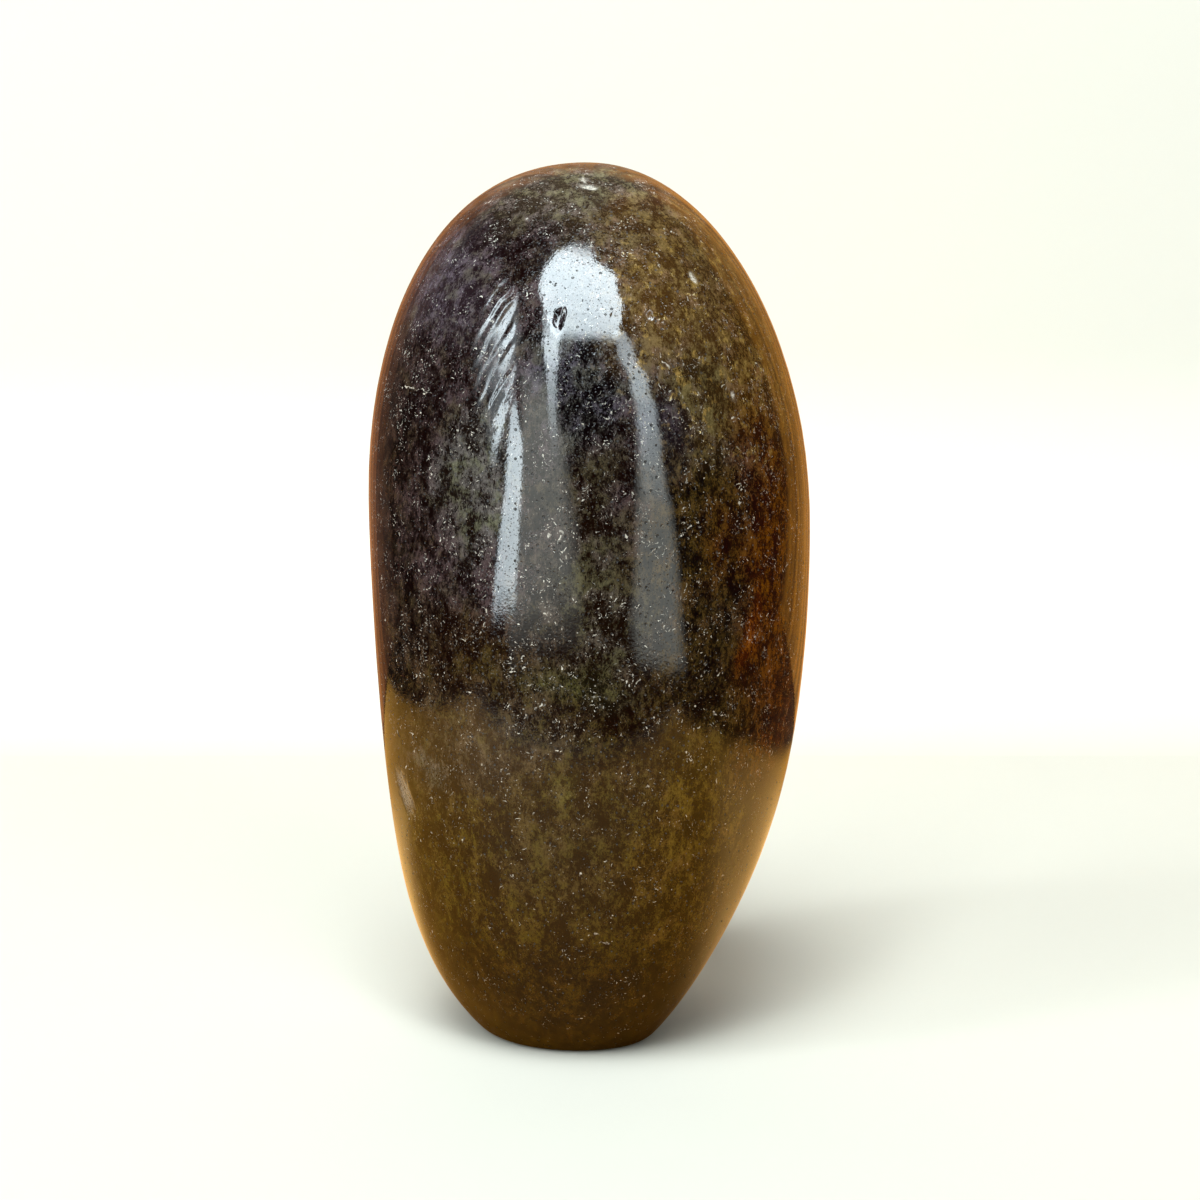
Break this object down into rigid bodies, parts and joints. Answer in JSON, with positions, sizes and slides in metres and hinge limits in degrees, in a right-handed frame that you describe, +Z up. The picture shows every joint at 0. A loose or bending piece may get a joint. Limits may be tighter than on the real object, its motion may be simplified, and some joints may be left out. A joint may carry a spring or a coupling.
{
  "type": "polished iolite freeform",
  "caption": "Hand-polished freeform of dark speckled iolite, egg-shaped and slimmer at the foot, sawn flat below so that it stands upright as an ornament.",
  "frame": {"origin": "on the sawn base at table level, below the crown", "axes": "+Z up the stone's length, -Y towards its narrow front side, +X to the right seen from the front"},
  "size_m": [0.0514, 0.0583, 0.1002],
  "materials": {
    "iolite": "high polish, dark violet-grey to black with olive, ochre and rust flecks"
  },
  "bodies": {
    "root": {"iolite_stone": "iolite"}
  },
  "joints": []
}
